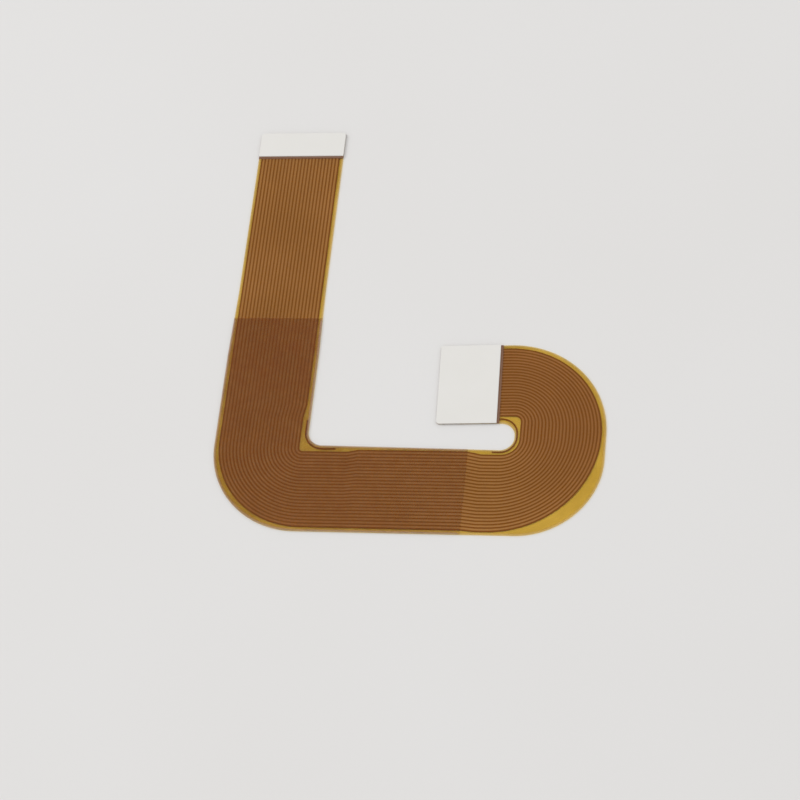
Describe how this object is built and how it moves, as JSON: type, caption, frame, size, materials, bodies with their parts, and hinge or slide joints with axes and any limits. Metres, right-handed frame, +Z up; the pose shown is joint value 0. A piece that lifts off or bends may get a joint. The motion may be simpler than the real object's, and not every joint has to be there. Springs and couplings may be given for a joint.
{
  "type": "flat flex cable",
  "caption": "Flat flexible printed cable bent in a J, with parallel copper tracks between amber films and a white stiffener on each end.",
  "frame": {"origin": "middle of the cable's outline, on the surface that it lies on", "axes": "+X along the bottom arm from the corner to the turn, +Y along the long arm to its end, +Z up through the layers, away from the contact side"},
  "size_m": [0.054, 0.0638, 0.0003],
  "materials": {
    "amber_film": "clear amber polyimide, satin gloss",
    "cover_film": "clear amber polyimide, satin gloss",
    "brown_film": "second amber film, satin gloss",
    "white_stiffener": "matt white polyester",
    "adhesive_tape": "grey-brown acrylic adhesive tape",
    "copper": "etched copper foil, gold on the bare contacts"
  },
  "bodies": {
    "root": {"base_film": "amber_film", "coverlay_film": "cover_film", "reinforcing_film": "brown_film", "stiffener_tape_long_arm": "adhesive_tape", "stiffener_tape_short_tail": "adhesive_tape", "stiffener_long_arm": "white_stiffener", "stiffener_short_tail": "white_stiffener", "tear_guard_corner": "copper", "tear_guard_slot": "copper", "trace_01": "copper", "trace_02": "copper", "trace_03": "copper", "trace_04": "copper", "trace_05": "copper", "trace_06": "copper", "trace_07": "copper", "trace_08": "copper", "trace_09": "copper", "trace_10": "copper", "trace_11": "copper", "trace_12": "copper", "trace_13": "copper", "trace_14": "copper", "trace_15": "copper", "trace_16": "copper", "trace_17": "copper", "trace_18": "copper", "trace_19": "copper", "trace_20": "copper", "trace_21": "copper", "trace_22": "copper", "trace_23": "copper", "trace_24": "copper"}
  },
  "joints": []
}
